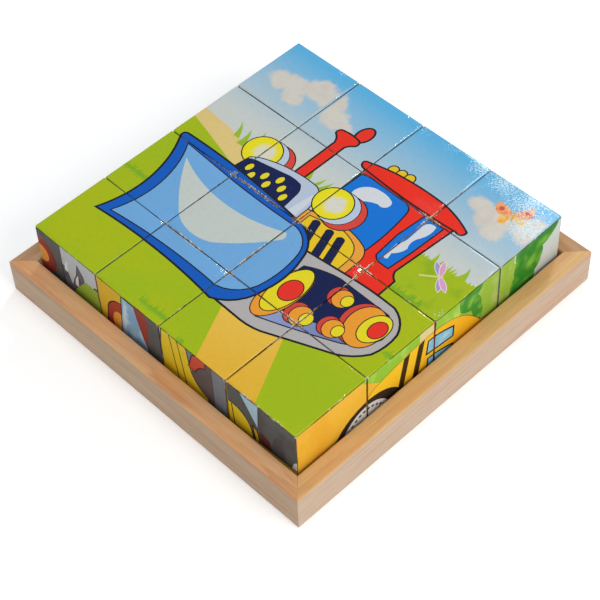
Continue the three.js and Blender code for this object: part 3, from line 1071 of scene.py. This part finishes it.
def film(name, piece, tile, finish, cube, face):
    """One picture piece: printed film wrapped over one side of a cube."""
    places, faces, colours = piece
    spots = (places - tile - 0.5) * TILE
    sides = {(a, b) for f in faces for a, b in zip(f, np.roll(f, -1))}
    rim = [(a, b) for a, b in sides if (b, a) not in sides]
    edge, lower, lower_faces = underside(spots, sorted(rim))
    top = len(spots)
    number = {corner: top + i for i, corner in enumerate(edge)}
    vertices = np.concatenate((wrapped(spots, 0), wrapped(lower, FILM)))
    walls = [(b, a, number[a], number[b]) for a, b in sorted(rim)]
    soles = [tuple(top + i for i in reversed(f)) for f in lower_faces]
    shape = [tuple(f) for f in faces.tolist()] + walls + soles
    piece = new_piece(name, vertices, shape, finish, cube.body, face.slot, cube.matrix @ face.turn)

    mesh = piece.data
    corners = np.empty(len(mesh.loops), int)
    mesh.loops.foreach_get("vertex_index", corners)
    ink = np.tile((*linear(CUT_EDGE), 0.0), (len(corners), 1))
    printed = colours.reshape(-1, 3)
    ink[: len(printed), :3] = printed
    ink[: len(printed), 3] = 1
    mesh.color_attributes.new("ink", "FLOAT_COLOR", "CORNER").data.foreach_set("color", ink.ravel())
    artwork = np.concatenate((places, lower / TILE + tile + 0.5))[corners]
    mesh.uv_layers.new(name="artwork").data.foreach_set("uv", artwork.ravel())
    return piece


def rounded_block(half, radius, lines, chance):
    """Vertices and quads of a cube of that half size with rounded edges and slightly worn corners."""
    curve = [radius * (1 - math.tan(math.radians(angle))) for angle in (45, 30, 15, 0)]
    ends = [-half + c for c in curve]
    inner = np.linspace(ends[-1], -ends[-1], lines + 2)[1:-1]
    marks = np.array([*ends, *inner, *(-m for m in reversed(ends))])
    worn = {corner: chance.uniform(0, 0.35) * MM for corner in np.ndindex(2, 2, 2)}
    found, faces = {}, []

    def vertex(i, j, k):
        return found.setdefault((i, j, k), len(found))

    last = len(marks) - 1
    for axis in range(3):
        for level in (0, last):
            for i in range(last):
                for j in range(last):
                    ring = [(i, j), (i + 1, j), (i + 1, j + 1), (i, j + 1)]
                    if level == 0:
                        ring.reverse()
                    keys = [(level, a, b) for a, b in ring]
                    faces.append([vertex(*(key[-axis:] + key[:-axis] if axis else key)) for key in keys])
    spots = marks[np.array(list(found))]
    core = np.clip(spots, -(half - radius), half - radius)
    away = spots - core
    length = np.linalg.norm(away, axis=1, keepdims=True)
    shape = core + away / np.maximum(length, 1e-9) * radius
    for corner, depth in worn.items():
        tip = (np.array(corner) * 2 - 1) * half
        near = np.clip(1 - np.linalg.norm(shape - tip, axis=1, keepdims=True) / (1.6 * MM), 0, 1)
        shape -= np.sign(tip) * depth * near
    return shape, faces


TOP_GLOSS, SIDE_GLOSS = 0.6, 0.12
# Widths in tiles of the darkening along the film rims, which is dirt and painted shade.
TOP_RIM_DIRT_AND_SHADE, SIDE_RIM_DIRT_AND_SHADE = 0.009, 0.016
TOP_SCUFFS = (
    (1.0, 2.0, 0.1), (2.0, 1.0, 0.09), (2.0, 1.35, 0.3), (1.35, 1.0, 0.35), (3.0, 2.0, 0.22),
    (1.4, 2.0, 0.45), (3.0, 3.0, 0.25), (2.0, 2.0, 0.12), (3.5, 0.0, 0.5), (2.9, 1.1, 0.3), (2.9, 1.9, 0.3),
)
# Places (x, y, radius) where pale specks are painted into the top film's colour as glints of the lacquer.
TOP_PAINTED_GLINTS = (
    (3.1, 4.05, 0.45), (3.45, 3.98, 0.5), (3.85, 3.85, 0.55), (2.45, 4.0, 0.25), (2.05, 3.98, 0.2),
    (2.85, 3.95, 0.22), (3.85, 3.5, 0.3), (0.75, 4.0, 0.12), (3.98, 2.1, 0.14),
)


def build_cubes():
    """The sixteen cubes with a film on every face."""
    chance = random.Random(5)
    pictures = {
        "top": bulldozer_picture, "right": car_picture, "front": loader_picture, "left": tipper_picture,
        "back": crane_picture, "bottom": roller_picture,
    }
    prints = {face.name: cut_up(pictures[face.name](), face.reach, chance) for face in FACES}
    inks = {
        face.name: print_finish(f"{face.name}_print", 10.0 * i, face.reach, SIDE_GLOSS, SIDE_RIM_DIRT_AND_SHADE)
        for i, face in enumerate(FACES) if face.name != "top"
    }
    inks["top"] = print_finish("top_print", 0.0, END_REACH, TOP_GLOSS, TOP_RIM_DIRT_AND_SHADE, TOP_SCUFFS, TOP_PAINTED_GLINTS)
    woods = [
        wood_finish(f"cube_wood_{i}", 7 + i, "#dcc29c", "#dcc29c", (9 + 5 * i, -14 + 3 * i), ring=2.2)
        for i in range(4)
    ]
    turns = [Matrix.Identity(4), Matrix.Rotation(QUARTER, 4, "Y"), Matrix.Rotation(QUARTER, 4, "Z")]
    for column in range(COUNT):
        for row in range(COUNT):
            cube = Cube(column, row)
            block = rounded_block(CORE / 2, CORE_RADIUS, 5, chance)
            grain = cube.matrix @ chance.choice(turns)
            wood = chance.choice(woods)
            core = new_piece(f"core_{cube.name}", *block, wood, cube.body, "cube_wood", grain)
            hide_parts(cube.body)
            for face in FACES:
                tile = face.tile(column, row)
                name = f"{face.name}_film_{cube.name}"
                piece = film(name, prints[face.name][tile], np.array(tile), inks[face.name], cube, face)
                if face.shown(column, row):
                    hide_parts(f"{face.name}_picture_{cube.name}")


# ---------------------------------------------------------------- the tray

RAIL_STEPS = 60
SAG, DENT_DEPTH = 0.025, 0.35  # unevenness in millimetres
DENT_FROM = 0.35  # the noise from which an edge is dented


def rail_section():
    """The outline of a rail across its length, anticlockwise: (inwards from its outer face, up). It is
    rebated below."""
    width, top = RAIL_WIDTH, RAIL_HEIGHT
    points = []

    def arc(x, y, radius, start):
        for step in range(5):
            turn = start + QUARTER * step / 4
            points.append((x + radius * math.cos(turn), y + radius * math.sin(turn)))

    arc(LOWER_ARRIS, LOWER_ARRIS, LOWER_ARRIS, 2 * QUARTER)
    points.append((width - REBATE_WIDTH, 0))
    points.append((width - REBATE_WIDTH, REBATE_TOP))
    points.append((width, REBATE_TOP))
    points.append((width, (REBATE_TOP + top) / 2))
    arc(width - ARRIS, top - ARRIS, ARRIS, 0)
    points.append((width / 2, top))
    arc(ARRIS, top - ARRIS, ARRIS, QUARTER)
    points.append((0, top / 2))
    return np.array(points)


def rail_mesh(seed):
    """A mitred rail along X, outer face towards -Y, with the faint unevenness of sanded wood."""
    section = rail_section()
    shares = np.linspace(-1, 1, RAIL_STEPS + 1)
    vertices = []
    for share in shares:
        for inwards, up in section:
            x = share * (OUTER - inwards - MITRE_LINE / 2)
            sag = SAG * MM * (1 + noise.noise((x * 90, inwards * 160, up * 160 + seed)))
            bumpy = noise.noise((x * 420, inwards * 300, seed * 3 + up * 300))
            dent = max(0, bumpy - DENT_FROM) * DENT_DEPTH * MM
            loss = sag + dent * (up > RAIL_HEIGHT - ARRIS * 1.1)
            middle_y, middle_z = RAIL_WIDTH / 2, RAIL_HEIGHT / 2
            y = inwards + math.copysign(loss, middle_y - inwards) * (abs(inwards - middle_y) > 1e-6)
            z = up + math.copysign(loss, middle_z - up) * (up > LOWER_ARRIS)
            vertices.append((x, y - OUTER, z))
    size = len(section)
    faces = []
    for i in range(len(shares) - 1):
        for j in range(size):
            a, b = i * size + j, i * size + (j + 1) % size
            faces.append((a, a + size, b + size, b))
    last = (len(shares) - 1) * size
    faces.append(tuple(range(size)))
    faces.append(tuple(last + j for j in reversed(range(size))))
    return vertices, faces


def build_tray():
    # Each rail's upper and other colour (one wood, lighter or darker by painted light and shade), pith,
    # ring, contrast, warmth and fleck: see wood_finish.
    looks = {
        "front": ("#e6b483", "#c2a687", (-62, -42), 1.2, 0.42, 0.35, 0.1),
        "right": ("#deb379", "#c9ae95", (-66, -75), 2.4, 0.14, 0.3, 0.12),
        "back": ("#bd9468", "#c2a581", (-60, -30), 1.5, 0.6, 0.5, 0.7),
        "left": ("#c8a27b", "#c4a988", (-68, -50), 1.7, 0.45, 0.4, 0.2),
    }
    for i, side in enumerate(RAILS):
        finish = wood_finish(f"pine_{side}", i + 1, *looks[side])
        shape = rail_mesh(i * 5.0 + 2)
        turn = Matrix.Rotation(i * QUARTER, 4, "Z")
        rail = new_piece(f"rail_{side}", *shape, finish, "tray", "tray_pine", turn)
        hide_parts(f"tray_rail_{side}")
    low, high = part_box("tray_base")
    chance = random.Random(9)
    block, faces = rounded_block(high.x, 0.15 * MM, 20, chance)
    block[:, 2] *= (high.z - low.z) / 2 / high.x
    place = Matrix.Translation((0, 0, (low.z + high.z) / 2))
    base = new_piece("base_panel", block, faces, board_finish("hardboard"), "tray", "tray_board", place)
    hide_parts("tray_base")


# ---------------------------------------------------------------- stage, light and camera


FLOOR_HALF, FLOOR_DROP = 3, 0.05 * MM


def build_stage():
    mesh = bpy.data.meshes.new("floor")
    mesh.from_pydata([(*corner, 0) for corner in rectangle(FLOOR_HALF).tolist()], [], [(0, 1, 2, 3)])
    floor = add_object("floor", mesh)
    floor.location.z = -FLOOR_DROP
    kit = Finish("studio_floor")
    shade = kit.noise(kit.add("TexCoord", {}, out=3), 3, 2)
    colour = kit.mix(kit.between(shade, 0.3, 0.7), "#fbfbfb", "#ffffff")
    white = (1, 1, 1, 1)
    mesh.materials.append(
        kit.shade(Base_Color=colour, Roughness=0.9, Emission_Color=white, Emission_Strength=0.2)
    )


def add_light(name, place, aim, size, power, colour):
    lamp = bpy.data.lights.new(name, "AREA")
    lamp.shape = "RECTANGLE"
    lamp.size, lamp.size_y = size
    lamp.energy = power
    lamp.color = colour
    holder = add_object(name, lamp)
    holder.location = place
    holder.rotation_euler = (Vector(aim) - Vector(place)).to_track_quat("-Z", "Y").to_euler()


AIR_COLOUR, AIR_STRENGTH = (0.93, 0.97, 1, 1), 0.35
LIT_SPOT = (0, 0, 0.02)
KEY_PLACE, KEY_SIZE, KEY_POWER, KEY_COLOUR = (1.15, 0.05, 0.85), (0.8, 0.8), 8.7, (1, 0.98, 0.95)
OVERHEAD_PLACE, OVERHEAD_SIZE, OVERHEAD_POWER = (0.15, -0.25, 1.2), (0.9, 0.9), 4.7
GLOSSY_SPOT = Vector((0.06, 0.085, CUBE_TOP))  # where the lacquer mirrors the small lamp
GLINT_PLACE = GLOSSY_SPOT + 1.2 * Vector((-0.34, 0.6, 0.723))
GLINT_SIZE, GLINT_POWER, GLINT_COLOUR = (0.11, 0.09), 3, (0.93, 0.98, 1)


def build_lights():
    world = bpy.data.worlds.new("studio")
    bpy.context.scene.world = world
    world.use_nodes = True
    background = world.node_tree.nodes["Background"]
    background.inputs["Color"].default_value = AIR_COLOUR
    background.inputs["Strength"].default_value = AIR_STRENGTH
    add_light("key", KEY_PLACE, LIT_SPOT, KEY_SIZE, KEY_POWER, KEY_COLOUR)
    add_light("overhead", OVERHEAD_PLACE, LIT_SPOT, OVERHEAD_SIZE, OVERHEAD_POWER, (1, 1, 1))
    add_light("glint", GLINT_PLACE, GLOSSY_SPOT, GLINT_SIZE, GLINT_POWER, GLINT_COLOUR)


AZIMUTH, ELEVATION, ROLL = (math.radians(a) for a in (47.45, 50.33, -2.82))
DISTANCE = 559.9 * MM
AIM_RIGHT, AIM_UP = -0.39 * MM, -25.53 * MM
LENS, SENSOR = 104.23, 36


def add_camera():
    flat = math.cos(ELEVATION)
    back = Vector((math.sin(AZIMUTH) * flat, -math.cos(AZIMUTH) * flat, math.sin(ELEVATION)))
    level = Vector((0, 0, 1)).cross(back).normalized()
    upright = back.cross(level)
    right = math.cos(ROLL) * level + math.sin(ROLL) * upright
    up = math.cos(ROLL) * upright - math.sin(ROLL) * level
    data = bpy.data.cameras.new("camera")
    data.lens, data.sensor_width = LENS, SENSOR
    data.dof.use_dof = False
    camera = add_object("camera", data)
    matrix = Matrix((right, up, back)).transposed().to_4x4()
    matrix.translation = Vector((0, 0, CUBE_TOP)) + back * DISTANCE + level * AIM_RIGHT + upright * AIM_UP
    camera.matrix_world = matrix
    bpy.context.scene.camera = camera


bpy.context.scene.view_settings.view_transform = "Standard"
build_cubes()
build_tray()
build_stage()
build_lights()
add_camera()
